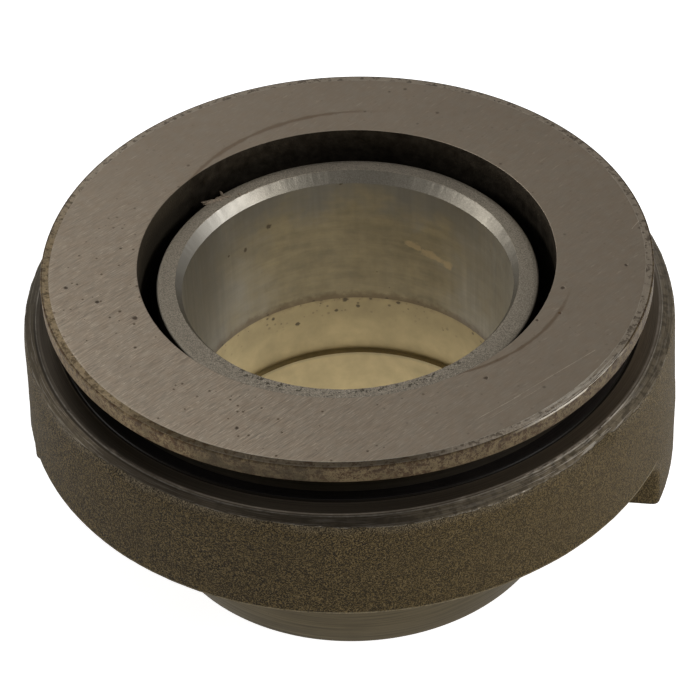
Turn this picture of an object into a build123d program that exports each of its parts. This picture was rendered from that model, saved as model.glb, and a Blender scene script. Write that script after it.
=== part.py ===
from build123d import *
import math
import os

# Clutch thrust ball bearing: a cast carrier slides on a guide tube, and its ground ring spins on balls.
# Millimetres. +Z is the slide axis, Z = 0 is the end of the hub, and X runs through the two fork lugs.

# Sizes read off the outside
FACE_HEIGHT = 34.9
GUIDE_BORE_RADIUS = 17.5
RING_RADIUS = 32.1
RING_HOLE_RADIUS = 21.95
RING_EDGE_HEIGHT = 1.96
RING_BEVEL_WIDTH = 0.9
RING_BEVEL_DROP = 0.3
SLEEVE_RADIUS = 20.15
SLEEVE_TOP = 32.1
SLEEVE_MOUTH_CHAMFER = 0.8
LEDGE_TOP = 29.4
LEDGE_RADIUS = 33.05
TURNED_BEVEL_RADIUS = 34.45
TURNED_BEVEL_DROP = 0.6
FLANGE_RADIUS = 35.0
FLANGE_BOTTOM = 17.5
FLANGE_BOTTOM_ROUND = 0.7
FLANGE_TOP_ROUND = 0.5
HUB_RADIUS = 22.25
HUB_END_CHAMFER = 0.5
RELIEF_RADIUS = 18.15
RELIEF_BOTTOM = 6.2
RELIEF_TOP = 14.5
LUG_WIDTH = 17.1
LUG_BOTTOM = 10.25
LUG_CORNER_ROUND = 0.8
LUG_EDGE_ROUND = 0.4
LUG_ROOT_RADIUS = 20.0
CAST_FILLET = 3.4
COVE_PLAN_FILLET = 3.6
COVE_END_RADIUS = 34.1
COVE_OVERLAP = 0.5

# Bearing inside the cup
BALL_RADIUS = 5.556 / 2
BALL_COUNT = 20
PITCH_RADIUS = 26.5
CONTACT_ANGLE = math.radians(45)
GROOVE_RADIUS = 2.89
CONTACT_GAP = 0.03
RACE_RADIUS = 31.1
RACE_BOTTOM = 20.1
RACE_HIGH_SHOULDER = 27.1
RACE_LOW_SHOULDER = 28.6
RACE_EDGE_CHAMFER = 0.5
CUP_FLOOR = 19.7
CUP_STEP_RADIUS = 28.6
CUP_FLOOR_FILLET = 0.8
NECK_HIGH_SHOULDER = 26.0
NECK_LOW_SHOULDER = 24.9
NECK_BOTTOM = 21.1
NECK_FILLET = 1.9
NECK_END_CHAMFER = 0.4
EDGE_BREAK = 0.2
GROUND_EDGE_BREAK = 0.08
SHIELD_THICKNESS = 0.4
SHIELD_SINK = 0.15
UPPER_SHIELD_SEAT = 29.6
LOWER_SHIELD_SEAT = 28.4
SHIELD_GAP = 0.35
LOWER_SHIELD_HOLE = 23.4
CAGE_HALF_HEIGHT = 3.7
CAGE_THICKNESS = 1.3
CAGE_BOTTOM_RADIUS = 25.25
CAGE_TOP_RADIUS = 26.65
POCKET_GAP = 0.12
WINDOW_CUT_LENGTH = 8

# Worked out from the sizes above
BALL_HEIGHT = (LEDGE_TOP + RACE_BOTTOM) / 2
GROOVE_OFFSET = GROOVE_RADIUS - BALL_RADIUS - CONTACT_GAP
OFFSET_RADIAL = GROOVE_OFFSET * math.cos(CONTACT_ANGLE)
OFFSET_AXIAL = GROOVE_OFFSET * math.sin(CONTACT_ANGLE)


def section(*corners):
    """Half section through the axis, from its corners as radius and height."""
    outline = Polyline(*[(radius, 0, height) for radius, height in corners], close=True)
    return make_face(outline)


def near(shape, radius, height):
    """Corner of a half section that lies nearest to the given radius and height."""
    return shape.vertices().sort_by_distance((radius, 0, height))[0]


def turned(shape):
    """Solid turned about the slide axis from a half section."""
    return revolve(shape, Axis.Z, 360)


def groove(centre_radius, centre_height):
    """Ring-shaped cutter for a ball groove."""
    return Pos(0, 0, centre_height) * Torus(centre_radius, GROOVE_RADIUS)


def ball_places():
    """Centres of the balls, evenly spaced round the pitch circle."""
    step = 360 / BALL_COUNT
    return [Rot(0, 0, step * index) * Pos(PITCH_RADIUS, 0, BALL_HEIGHT) for index in range(BALL_COUNT)]


def fork_lug(side):
    """Cast lug under the flange that a clutch fork presses on; its outer face follows the flange."""
    length = FLANGE_RADIUS - LUG_ROOT_RADIUS
    height = FLANGE_BOTTOM - LUG_BOTTOM + FLANGE_BOTTOM_ROUND
    middle = LUG_ROOT_RADIUS + length / 2
    block = Pos(middle, 0, LUG_BOTTOM + height / 2) * Box(length, LUG_WIDTH, height)
    round_face = Pos(0, 0, LUG_BOTTOM + height / 2) * Cylinder(FLANGE_RADIUS, height)
    lug = block & round_face
    outer_corners = lug.edges().filter_by(Axis.Z).sort_by(Axis.X)[-2:]
    lug = fillet(outer_corners, LUG_CORNER_ROUND)
    bottom_face = lug.faces().sort_by(Axis.Z)[0]
    root_edge = bottom_face.edges().sort_by(Axis.X)[0]
    rim = [edge for edge in bottom_face.edges() if not edge.is_same(root_edge)]
    lug = fillet(rim, LUG_EDGE_ROUND)
    return lug if side > 0 else Rot(0, 0, 180) * lug


def cast_coves():
    """Web under the flange with the rounded corners that a sand mould leaves along both lugs and the hub."""
    bottom = LUG_BOTTOM + LUG_EDGE_ROUND
    depth = FLANGE_BOTTOM - bottom
    keep = Circle(HUB_RADIUS) + Rectangle(3 * FLANGE_RADIUS, LUG_WIDTH)
    roots = [place for place in keep.vertices() if math.hypot(place.X, place.Y) < HUB_RADIUS + EDGE_BREAK]
    keep = fillet(roots, COVE_PLAN_FILLET)
    space = extrude(Pos(0, 0, bottom) * (Circle(1.2 * FLANGE_RADIUS) - keep), depth)
    ceiling = [edge for edge in space.edges() if edge.center().Z > FLANGE_BOTTOM - EDGE_BREAK]
    outline = [edge for edge in ceiling if math.hypot((edge @ 0.5).X, (edge @ 0.5).Y) < FLANGE_RADIUS]
    space = fillet(outline, CAST_FILLET)
    height = depth + COVE_OVERLAP
    web = Pos(0, 0, bottom + height / 2) * Cylinder(COVE_END_RADIUS, height)
    return web - space - Cylinder(LUG_ROOT_RADIUS, 3 * FACE_HEIGHT)


def carrier():
    """One casting: hub and sleeve round the guide bore, cup for the bearing, and two fork lugs."""
    shape = section(
        (GUIDE_BORE_RADIUS, 0),
        (HUB_RADIUS, 0),
        (HUB_RADIUS, FLANGE_BOTTOM),
        (FLANGE_RADIUS, FLANGE_BOTTOM),
        (FLANGE_RADIUS, LEDGE_TOP - TURNED_BEVEL_DROP),
        (TURNED_BEVEL_RADIUS, LEDGE_TOP - TURNED_BEVEL_DROP),
        (LEDGE_RADIUS, LEDGE_TOP),
        (RACE_RADIUS, LEDGE_TOP),
        (RACE_RADIUS, RACE_BOTTOM),
        (CUP_STEP_RADIUS, RACE_BOTTOM),
        (CUP_STEP_RADIUS, CUP_FLOOR),
        (SLEEVE_RADIUS, CUP_FLOOR),
        (SLEEVE_RADIUS, SLEEVE_TOP),
        (GUIDE_BORE_RADIUS, SLEEVE_TOP),
        (GUIDE_BORE_RADIUS, RELIEF_TOP),
        (RELIEF_RADIUS, RELIEF_TOP),
        (RELIEF_RADIUS, RELIEF_BOTTOM),
        (GUIDE_BORE_RADIUS, RELIEF_BOTTOM),
    )
    shape = chamfer(near(shape, GUIDE_BORE_RADIUS, 0), HUB_END_CHAMFER)
    shape = chamfer(near(shape, HUB_RADIUS, 0), HUB_END_CHAMFER)
    shape = chamfer(near(shape, GUIDE_BORE_RADIUS, SLEEVE_TOP), SLEEVE_MOUTH_CHAMFER)
    shape = chamfer(near(shape, SLEEVE_RADIUS, SLEEVE_TOP), EDGE_BREAK)
    shape = fillet(near(shape, FLANGE_RADIUS, FLANGE_BOTTOM), FLANGE_BOTTOM_ROUND)
    shape = fillet(near(shape, FLANGE_RADIUS, LEDGE_TOP - TURNED_BEVEL_DROP), FLANGE_TOP_ROUND)
    shape = fillet(near(shape, SLEEVE_RADIUS, CUP_FLOOR), CUP_FLOOR_FILLET)
    body = turned(shape)
    return body + fork_lug(1) + fork_lug(-1) + cast_coves()


def thrust_ring():
    """Spinning ring: ground flange on top, neck with the inner raceway below."""
    shape = section(
        (RING_HOLE_RADIUS, NECK_BOTTOM),
        (NECK_LOW_SHOULDER, NECK_BOTTOM),
        (NECK_LOW_SHOULDER, BALL_HEIGHT),
        (NECK_HIGH_SHOULDER, BALL_HEIGHT),
        (NECK_HIGH_SHOULDER, FACE_HEIGHT - RING_EDGE_HEIGHT),
        (RING_RADIUS, FACE_HEIGHT - RING_EDGE_HEIGHT),
        (RING_RADIUS, FACE_HEIGHT),
        (RING_HOLE_RADIUS, FACE_HEIGHT),
    )
    shape = chamfer(near(shape, RING_RADIUS, FACE_HEIGHT), RING_BEVEL_WIDTH, RING_BEVEL_DROP)
    shape = chamfer(near(shape, RING_RADIUS, FACE_HEIGHT - RING_EDGE_HEIGHT), EDGE_BREAK)
    shape = chamfer(near(shape, RING_HOLE_RADIUS, FACE_HEIGHT), GROUND_EDGE_BREAK)
    shape = chamfer(near(shape, RING_HOLE_RADIUS, NECK_BOTTOM), NECK_END_CHAMFER)
    shape = chamfer(near(shape, NECK_LOW_SHOULDER, NECK_BOTTOM), NECK_END_CHAMFER)
    shape = fillet(near(shape, NECK_HIGH_SHOULDER, FACE_HEIGHT - RING_EDGE_HEIGHT), NECK_FILLET)
    return turned(shape) - groove(PITCH_RADIUS + OFFSET_RADIAL, BALL_HEIGHT - OFFSET_AXIAL)


def outer_race():
    """Fixed race seated in the cup, with a deep lower shoulder that carries the thrust."""
    upper_seat = LEDGE_TOP - SHIELD_SINK - SHIELD_THICKNESS
    lower_seat = RACE_BOTTOM + SHIELD_SINK + SHIELD_THICKNESS
    shape = section(
        (RACE_HIGH_SHOULDER, BALL_HEIGHT),
        (RACE_HIGH_SHOULDER, lower_seat),
        (LOWER_SHIELD_SEAT, lower_seat),
        (LOWER_SHIELD_SEAT, RACE_BOTTOM),
        (RACE_RADIUS, RACE_BOTTOM),
        (RACE_RADIUS, LEDGE_TOP),
        (UPPER_SHIELD_SEAT, LEDGE_TOP),
        (UPPER_SHIELD_SEAT, upper_seat),
        (RACE_LOW_SHOULDER, upper_seat),
        (RACE_LOW_SHOULDER, BALL_HEIGHT),
    )
    shape = chamfer(near(shape, RACE_RADIUS, RACE_BOTTOM), RACE_EDGE_CHAMFER)
    shape = chamfer(near(shape, RACE_RADIUS, LEDGE_TOP), EDGE_BREAK)
    return turned(shape) - groove(PITCH_RADIUS - OFFSET_RADIAL, BALL_HEIGHT + OFFSET_AXIAL)


def upper_shield():
    """Pressed dust shield in the top of the race, just clear of the neck."""
    top = LEDGE_TOP - SHIELD_SINK
    hole = NECK_HIGH_SHOULDER + SHIELD_GAP
    return turned(section(
        (hole, top - SHIELD_THICKNESS),
        (UPPER_SHIELD_SEAT, top - SHIELD_THICKNESS),
        (UPPER_SHIELD_SEAT, top),
        (hole, top),
    ))


def lower_shield():
    """Pressed grease shield in the bottom of the race, under the end of the neck."""
    bottom = RACE_BOTTOM + SHIELD_SINK
    return turned(section(
        (LOWER_SHIELD_HOLE, bottom),
        (LOWER_SHIELD_SEAT, bottom),
        (LOWER_SHIELD_SEAT, bottom + SHIELD_THICKNESS),
        (LOWER_SHIELD_HOLE, bottom + SHIELD_THICKNESS),
    ))


def cage():
    """Tapered one-piece cage with a round window, square to its wall, for each ball."""
    bottom = BALL_HEIGHT - CAGE_HALF_HEIGHT
    top = BALL_HEIGHT + CAGE_HALF_HEIGHT
    shell = turned(section(
        (CAGE_BOTTOM_RADIUS, bottom),
        (CAGE_BOTTOM_RADIUS + CAGE_THICKNESS, bottom),
        (CAGE_TOP_RADIUS + CAGE_THICKNESS, top),
        (CAGE_TOP_RADIUS, top),
    ))
    taper = math.degrees(math.atan2(CAGE_TOP_RADIUS - CAGE_BOTTOM_RADIUS, top - bottom))
    window = Rot(0, 90 + taper, 0) * Cylinder(BALL_RADIUS + POCKET_GAP, WINDOW_CUT_LENGTH)
    return shell - [place * window for place in ball_places()]


def balls():
    """The balls, one solid each, keyed by node name."""
    return {
        f"ball_{number:02d}": place * Sphere(BALL_RADIUS)
        for number, place in enumerate(ball_places(), start=1)
    }


def main():
    nodes = {
        "carrier": carrier(),
        "thrust_ring": thrust_ring(),
        "outer_race": outer_race(),
        "upper_shield": upper_shield(),
        "lower_shield": lower_shield(),
        "ball_cage": cage(),
    }
    nodes.update(balls())
    os.makedirs("parts", exist_ok=True)
    for name, solid in nodes.items():
        export_step(solid, f"parts/{name}.step")


main()
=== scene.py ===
import math

import bmesh
import bpy
from mathutils import Matrix, Vector, noise


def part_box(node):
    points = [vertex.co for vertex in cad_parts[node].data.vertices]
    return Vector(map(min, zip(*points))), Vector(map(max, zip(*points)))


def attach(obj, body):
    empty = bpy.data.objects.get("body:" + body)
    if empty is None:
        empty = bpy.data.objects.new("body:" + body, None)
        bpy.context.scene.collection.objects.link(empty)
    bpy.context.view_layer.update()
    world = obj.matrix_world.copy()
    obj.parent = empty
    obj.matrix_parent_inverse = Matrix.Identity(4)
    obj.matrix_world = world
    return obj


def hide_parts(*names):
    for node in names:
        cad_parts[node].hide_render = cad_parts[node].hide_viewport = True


bl_info = {
    "name": "Clutch thrust bearing",
    "version": (1, 0, 0),
    "blender": (4, 5, 0),
    "location": "View3D > Sidebar > Bearing",
    "description": "Cast carrier, ground thrust ring and caged balls of a clutch thrust bearing",
    "category": "Add Mesh",
}

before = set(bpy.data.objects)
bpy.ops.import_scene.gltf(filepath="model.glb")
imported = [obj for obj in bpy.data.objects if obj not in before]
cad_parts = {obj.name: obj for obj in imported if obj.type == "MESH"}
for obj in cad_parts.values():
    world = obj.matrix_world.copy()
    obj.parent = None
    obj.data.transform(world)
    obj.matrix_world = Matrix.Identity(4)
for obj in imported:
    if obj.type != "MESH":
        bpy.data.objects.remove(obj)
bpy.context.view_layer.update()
MM = 0.001
FULL_TURN = 2 * math.pi
ORIGIN = (0, 0, 0)
WEDGES = 15

# Sizes in millimetres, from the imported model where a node's box gives them
FLANGE_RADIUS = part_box("carrier")[1].y / MM
FACE_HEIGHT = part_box("thrust_ring")[1].z / MM
RING_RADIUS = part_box("thrust_ring")[1].x / MM
NECK_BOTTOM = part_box("thrust_ring")[0].z / MM
SLEEVE_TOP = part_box("carrier")[1].z / MM
LEDGE_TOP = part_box("outer_race")[1].z / MM
RACE_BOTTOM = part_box("outer_race")[0].z / MM
RACE_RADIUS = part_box("outer_race")[1].y / MM
BORE_RADIUS = 17.5
RELIEF_RADIUS = 18.15
RELIEF_BOTTOM = 6.2
RELIEF_TOP = 14.5
HUB_RADIUS = 22.25
HUB_ROUND = 0.14
HUB_TOP = 15.95
SLEEVE_RADIUS = 20.15
MOUTH_CHAMFER = 0.8
MOUTH_STEEPNESS = 1.2
CUP_FLOOR = 19.7
CUP_ROUND = 0.8
CUP_STEP_RADIUS = 28.6
RIM_RADIUS = 33.05
BAND_SLOPE = 0.6 / 1.4
BAND_LIMIT = 34.46
FLANGE_BOTTOM = 17.5
FLANGE_ROUND = 0.14
WALL_DRAFT = 0.45
LUG_WIDTH = 17.1
LUG_BOTTOM = 10.25
LUG_CORNER = 0.8
LUG_ROUND = 0.4
CAST_FILLET = 3.4
CORNER_LOW = 27.6
CUTTER_RADIUS = 41
RING_HOLE = 21.95
RING_THICKNESS = 1.96
FACE_EDGE = 31.2
SIDE_EDGE = 31.88
NECK_RADIUS = 24.9
NECK_CHAMFER = 0.4
UNDERCUT_RADIUS = 26.0
UNDERCUT_ROUND = 1.9
RACEWAY_CENTRE = (26.558, 24.692)
RACEWAY_RADIUS = 2.89

# Where the turned band meets the casting: angle round the axis in degrees, radius in millimetres
BAND_EDGE = (
    (-180, 34.25), (-165, 34.28), (-151.5, 34.32), (-146.5, 34.36), (-141.4, 34.42), (-137, 34.4),
    (-132.5, 34.28), (-128.8, 34.12), (-124.6, 33.96), (-120.3, 34.04), (-116.5, 33.93), (-107.2, 34.0),
    (-96.7, 33.96), (-83.3, 34.16), (-73.5, 34.34), (-63.4, 34.3), (-56.5, 34.42), (-48.7, 34.3),
    (-40.1, 34.18), (-35, 33.95), (-31.6, 33.84), (-30.9, 34.12), (-23.3, 34.32), (-16.9, 34.36),
    (0, 34.25), (30, 34.1), (60, 33.9), (90, 34.05), (120, 34.3), (150, 34.25), (180, 34.25),
)
# Nicks in the rim's outer edge: angle, half width in degrees, depth in millimetres
RIM_NICKS = (
    (-49.4, 0.5, 0.12), (-47.1, 0.7, 0.10), (-44.6, 0.4, 0.14), (-42.3, 0.8, 0.10), (-40.2, 0.4, 0.13),
    (-38.1, 0.35, 0.22), (-36.4, 0.6, 0.12), (-34.0, 0.5, 0.12), (-32.3, 0.35, 0.2), (-29.5, 0.4, 0.1),
    (-141.5, 0.5, 0.12), (-128.0, 0.4, 0.08), (-112.3, 0.35, 0.08), (-62.0, 0.4, 0.08), (35.0, 0.5, 0.12),
    (71.0, 0.6, 0.1), (118.0, 0.5, 0.12), (163.0, 0.4, 0.1),
)
# Pits in the ground face: radius, angle in degrees, size
FACE_PITS = (
    (29.16, 3.1, 0.28), (23.11, -6.9, 0.34), (23.96, -16.4, 0.26), (22.28, -21.3, 0.24), (24.02, -46.5, 0.3),
    (29.42, -164.4, 0.3), (26.53, -158.3, 0.3), (23.48, -149.5, 0.36), (28.12, -104.4, 0.26),
)
# Rubbed arcs on the ground face: centre, radius, width, middle, reach, strength
RUBBED_ARCS = (
    ((5.74, -0.8), 18.11, 0.3, (18.5, -13.8), 13.5, 0.5),
    ((0.97, 4.82), 20.71, 0.42, (-13.2, 20.0), 16.0, 0.45),
)
# Scratches on the ground face: start, end, width
FACE_SCRATCHES = (
    ((16.1, -23.7), (20.2, -19.6), 0.07), ((19.6, -20.1), (27.0, -12.1), 0.06),
    ((17.6, -23.2), (22.1, -18.3), 0.04), ((29.3, 7.6), (30.9, 11.2), 0.05),
)
# Dark spots in the bore and in its relief: angle in degrees, height, size
BORE_SPOTS = ((128.5, 27.1, 0.42), (139.1, 25.4, 0.34), (100.6, 31.0, 0.3), (147.2, 26.0, 0.2))
RELIEF_SPOTS = (
    (100.9, 13.7, 0.42), (96.4, 12.7, 0.32), (104.3, 12.2, 0.28), (109.6, 14.1, 0.34), (118.8, 11.2, 0.36),
    (128.1, 13.1, 0.3), (81.6, 13.6, 0.3),
)
# Lumps of dried residue: x, y, half length, half width, turn in degrees, seed of the lump's form
RESIDUE_LUMPS = (
    (-16.75, 11.15, 0.95, 0.3, 25, 3), (-15.8, 11.75, 0.9, 0.34, 38, 8), (-15.1, 12.2, 0.55, 0.2, 15, 14),
    (-15.7, 12.75, 0.5, 0.13, 120, 17), (-13.7, 12.85, 0.22, 0.14, 40, 21), (-12.95, 13.25, 0.2, 0.1, 60, 26),
)


def depth_property(name, description, default):
    """A small distance that a user may change, with its default in mm."""
    return bpy.props.FloatProperty(
        name=name, description=description, default=default * MM, min=0, subtype="DISTANCE", unit="LENGTH",
        precision=5,
    )


def colour_property(name, description, default):
    """A colour that a user may change."""
    return bpy.props.FloatVectorProperty(
        name=name, description=description, default=default, size=3, min=0, max=1, subtype="COLOR"
    )


class BearingSizes(bpy.types.PropertyGroup):
    """Sizes of the finish that a user may change"""

    turns: bpy.props.IntProperty(
        name="Steps round", description="Facets round every turned piece", default=600, min=64, max=720
    )
    lumps: depth_property("Casting lumps", "Depth of the slow waves in the cast wall", 0.07)
    grit: depth_property("Casting grit", "Depth of the sand grain in the cast wall", 0.035)
    edge_break: depth_property("Edge break", "Width of the worn line along the ring's edges", 0.07)
    line_angle: bpy.props.FloatProperty(
        name="Grinding angle", description="Direction of the lines on the ground face",
        default=math.radians(50.2), subtype="ANGLE",
    )


class BearingColours(bpy.types.PropertyGroup):
    """Colours of the finishes"""

    face: colour_property("Ground face", "Ground steel of the thrust face", (0.357, 0.303, 0.238))
    casting: colour_property("Casting", "Sand-cast iron of the flange and lugs", (0.059, 0.0405, 0.0145))
    rim: colour_property("Turned rim", "Turned iron of the rim round the race", (0.165, 0.135, 0.10))
    band: colour_property("Turned band", "Cleaner turned iron outside the rim", (0.195, 0.161, 0.113))
    side: colour_property("Ring side", "Stained side wall of the thrust ring", (0.118, 0.086, 0.044))
    bore: colour_property("Bore", "Ground guide bore", (0.36, 0.335, 0.275))
    # The relief's khaki colour is partly painted light: the glow of the table's light seen from below.
    relief: colour_property("Relief", "Wider part of the bore", (0.46, 0.375, 0.205))
    sleeve: colour_property("Sleeve end", "Blasted end of the guide sleeve", (0.41, 0.362, 0.29))
    hub: colour_property("Hub", "Turned and stained side of the hub", (0.086, 0.067, 0.035))
    race: colour_property("Race", "Hardened race steel", (0.10, 0.093, 0.093))
    shield: colour_property("Shields", "Pressed steel of both shields", (0.3, 0.28, 0.24))
    rust: colour_property("Rust", "Rust and dried grease", (0.16, 0.085, 0.035))
    cage: colour_property("Cage", "Moulded polyamide of the ball cage", (0.42, 0.36, 0.24))


def band_edge(angle):
    """Radius in mm at which the turned band ends, at an angle in degrees."""
    for (a0, r0), (a1, r1) in zip(BAND_EDGE, BAND_EDGE[1:]):
        if a0 <= angle <= a1:
            radius = r0 + (r1 - r0) * (angle - a0) / (a1 - a0)
            break
    turn = math.radians(angle)
    ragged = noise.noise(Vector((math.cos(turn), math.sin(turn), 0)) * 22)
    fine = noise.noise(Vector((math.cos(turn), math.sin(turn), 1)) * 75)
    return min(BAND_LIMIT, radius + 0.07 * ragged + 0.05 * fine)


def mouth_chamfer(angle):
    """Width in mm of the chamfer at the bore's mouth, which runs out on one side."""
    toward = (math.cos(math.radians(angle - 102)) + 1) / 1.5
    return 0.1 + 0.85 * min(1, toward) ** 1.1


def hem_inset(beside, height):
    """How far in mm the flange's rounded lower edge lies in, also where it runs down to a lug."""
    low = FLANGE_BOTTOM - CAST_FILLET
    reach = LUG_WIDTH / 2 + CAST_FILLET
    apart = height - FLANGE_BOTTOM
    if beside < reach:
        apart = math.hypot(reach - beside, max(0, height - low)) - CAST_FILLET
    sunk = min(FLANGE_ROUND, max(0, FLANGE_ROUND - apart))
    share = min(1, max(0, (height - low) / CAST_FILLET))
    return (FLANGE_ROUND - math.sqrt(FLANGE_ROUND ** 2 - sunk ** 2)) * share ** 2 * (3 - 2 * share)


def wall_draft(height):
    """How far in mm the cast wall leans inwards at a height."""
    share = min(1, max(0, (height - FLANGE_BOTTOM) / (CORNER_LOW - FLANGE_BOTTOM)))
    return WALL_DRAFT * share ** 0.75


def nick_depth(angle):
    """Depth in mm of the nicks in the rim's edge at an angle in degrees."""
    return sum(deep * max(0, 1 - ((angle - at) / wide) ** 2) for at, wide, deep in RIM_NICKS)


def on_circle(radius, angle, height):
    """Place at an angle in degrees on a circle round the axis."""
    turn = math.radians(angle)
    return radius * math.cos(turn), radius * math.sin(turn), height


def arc(centre, radius, start, end, steps):
    """Points round an arc from one angle to another, in degrees, after its first point."""
    points = []
    for step in range(1, steps + 1):
        x, y, _ = on_circle(radius, start + (end - start) * step / steps, 0)
        points.append((centre[0] + x, centre[1] + y))
    return points


def run(start, end, steps):
    """Points along a straight run, after its first point."""
    return [
        (start[0] + (end[0] - start[0]) * step / steps, start[1] + (end[1] - start[1]) * step / steps)
        for step in range(1, steps + 1)
    ]


def verts_of(parts):
    """The vertices among the parts of a shell."""
    return [part for part in parts if isinstance(part, bmesh.types.BMVert)]


def turn_about_axis(shell, verts, angle):
    """Turns vertices about the slide axis, by an angle in radians."""
    bmesh.ops.rotate(shell, verts=verts, cent=ORIGIN, matrix=Matrix.Rotation(angle, 3, "Z"))


def spun(outline, steps):
    """Closed shell turned about the slide axis from an outline of (radius, height) in mm, wedge by wedge."""
    shell = bmesh.new()
    corners = [shell.verts.new((radius * MM, 0, height * MM)) for radius, height in outline]
    sides = [shell.edges.new(pair) for pair in zip(corners, corners[1:] + corners[:1])]
    bmesh.ops.spin(
        shell, geom=corners + sides, cent=ORIGIN, axis=(0, 0, 1), angle=FULL_TURN / WEDGES,
        steps=steps // WEDGES,
    )
    wedge = shell.verts[:] + shell.edges[:] + shell.faces[:]
    for number in range(1, WEDGES):
        twin = bmesh.ops.duplicate(shell, geom=wedge)["geom"]
        turn_about_axis(shell, verts_of(twin), FULL_TURN * number / WEDGES)
    bmesh.ops.remove_doubles(shell, verts=shell.verts, dist=0.001 * MM)
    bmesh.ops.recalc_face_normals(shell, faces=shell.faces)
    return shell


def new_object(name, shell):
    """Object in the scene with the mesh of a finished shell."""
    mesh = bpy.data.meshes.new(name)
    shell.to_mesh(mesh)
    shell.free()
    piece = bpy.data.objects.new(name, mesh)
    bpy.context.scene.collection.objects.link(piece)
    return piece


def new_piece(name, shell, materials, body, smooth_angle):
    """Object at the origin from a finished shell, smooth but for its sharp edges, riding on a body."""
    piece = new_object(name, shell)
    for material in materials:
        piece.data.materials.append(material)
    piece.data.shade_smooth()
    piece.data.set_sharp_from_angle(angle=math.radians(smooth_angle))
    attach(piece, body)
    return piece


def rgba(colour, factor=1.0):
    """A colour as a socket value, lighter or darker."""
    return tuple(min(1.0, channel * factor) for channel in colour) + (1.0,)


class Wiring:
    """Short calls that add nodes to one node tree."""

    def __init__(self, tree):
        self.tree = tree

    def add(self, kind, values=None, **settings):
        """New node with its settings, then its inputs as links or values."""
        node = self.tree.nodes.new(kind)
        for key, value in settings.items():
            setattr(node, key, value)
        for key, value in (values or {}).items():
            self.feed(node.inputs[key], value)
        return node

    def feed(self, socket, value):
        """Links an output to a socket, or sets the socket's own value."""
        if isinstance(value, bpy.types.NodeSocket):
            self.tree.links.new(value, socket)
        else:
            socket.default_value = value

    def math(self, operation, first, second=0.0):
        """One step of arithmetic."""
        return self.add("ShaderNodeMath", {0: first, 1: second}, operation=operation).outputs[0]

    def plus(self, first, second):
        """Sum of two numbers."""
        return self.math("ADD", first, second)

    def less(self, first, second):
        """First number less the second."""
        return self.math("SUBTRACT", first, second)

    def times(self, first, second):
        """Product of two numbers."""
        return self.math("MULTIPLY", first, second)

    def over(self, first, second):
        """First number divided by the second."""
        return self.math("DIVIDE", first, second)

    def most(self, first, second):
        """Larger of two numbers."""
        return self.math("MAXIMUM", first, second)

    def apart(self, first, second):
        """How far two numbers lie apart."""
        return self.math("ABSOLUTE", self.less(first, second))

    def vector(self, operation, first, second=ORIGIN):
        """One step of vector arithmetic that gives a vector."""
        return self.add("ShaderNodeVectorMath", {0: first, 1: second}, operation=operation).outputs["Vector"]

    def number(self, operation, first, second=ORIGIN):
        """One step of vector arithmetic that gives a number."""
        return self.add("ShaderNodeVectorMath", {0: first, 1: second}, operation=operation).outputs["Value"]

    def scaled(self, value, factor):
        """A vector times a number."""
        node = self.add("ShaderNodeVectorMath", {0: value, "Scale": factor}, operation="SCALE")
        return node.outputs["Vector"]

    def ranged(self, value, low, high, to_low, to_high, **settings):
        """A number laid from one range over another."""
        values = {"Value": value, "From Min": low, "From Max": high, "To Min": to_low, "To Max": to_high}
        return self.add("ShaderNodeMapRange", values, **settings).outputs["Result"]

    def span(self, value, low, high, to_low=0.0, to_high=1.0):
        """Smooth step from one value to another."""
        return self.ranged(value, low, high, to_low, to_high, interpolation_type="SMOOTHSTEP")

    def line(self, value, low, high, to_low=0.0, to_high=1.0):
        """Straight, clamped step from one value to another."""
        return self.ranged(value, low, high, to_low, to_high)

    def fade(self, share, low, high):
        """A share from nought to one laid between two values."""
        return self.line(share, 0.0, 1.0, low, high)

    def mix(self, factor, first, second, blend="MIX"):
        """Two colours mixed."""
        node = self.add("ShaderNodeMix", {0: factor, 6: first, 7: second}, data_type="RGBA", blend_type=blend)
        return node.outputs[2]

    def shades(self, factor, colour, first, second):
        """Mix of two shades of one colour."""
        return self.mix(factor, rgba(colour, first), rgba(colour, second))

    def tint(self, base, factor, colour, shade=1.0):
        """A shade of a colour laid over another colour."""
        return self.mix(factor, base, rgba(colour, shade))

    def toned(self, base, factor):
        """A colour times a number."""
        return self.mix(1.0, base, self.join(factor, factor, factor), "MULTIPLY")

    def blend(self, factor, first, second):
        """Two numbers mixed."""
        return self.add("ShaderNodeMix", {0: factor, 2: first, 3: second}, data_type="FLOAT").outputs[0]

    def grain(self, place, scale, detail=2.0, roughness=0.5):
        """Noise value."""
        values = {"Vector": place, "Scale": scale, "Detail": detail, "Roughness": roughness}
        return self.add("ShaderNodeTexNoise", values).outputs[0]

    def cells(self, place, scale):
        """Distance and colour of the nearest cell."""
        return self.add("ShaderNodeTexVoronoi", {"Vector": place, "Scale": scale}, feature="F1").outputs

    def join(self, x, y, z):
        """Vector from three numbers."""
        return self.add("ShaderNodeCombineXYZ", {0: x, 1: y, 2: z}).outputs[0]

    def split(self, vector):
        """Three numbers of a vector."""
        return self.add("ShaderNodeSeparateXYZ", {0: vector}).outputs

    def group(self, name, **values):
        """Outputs of one of the shared effects, with this material's own values."""
        node = self.tree.nodes.new("ShaderNodeGroup")
        node.node_tree = bpy.data.node_groups[name]
        for key, value in values.items():
            self.feed(node.inputs[key.capitalize()], value)
        return node.outputs


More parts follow.
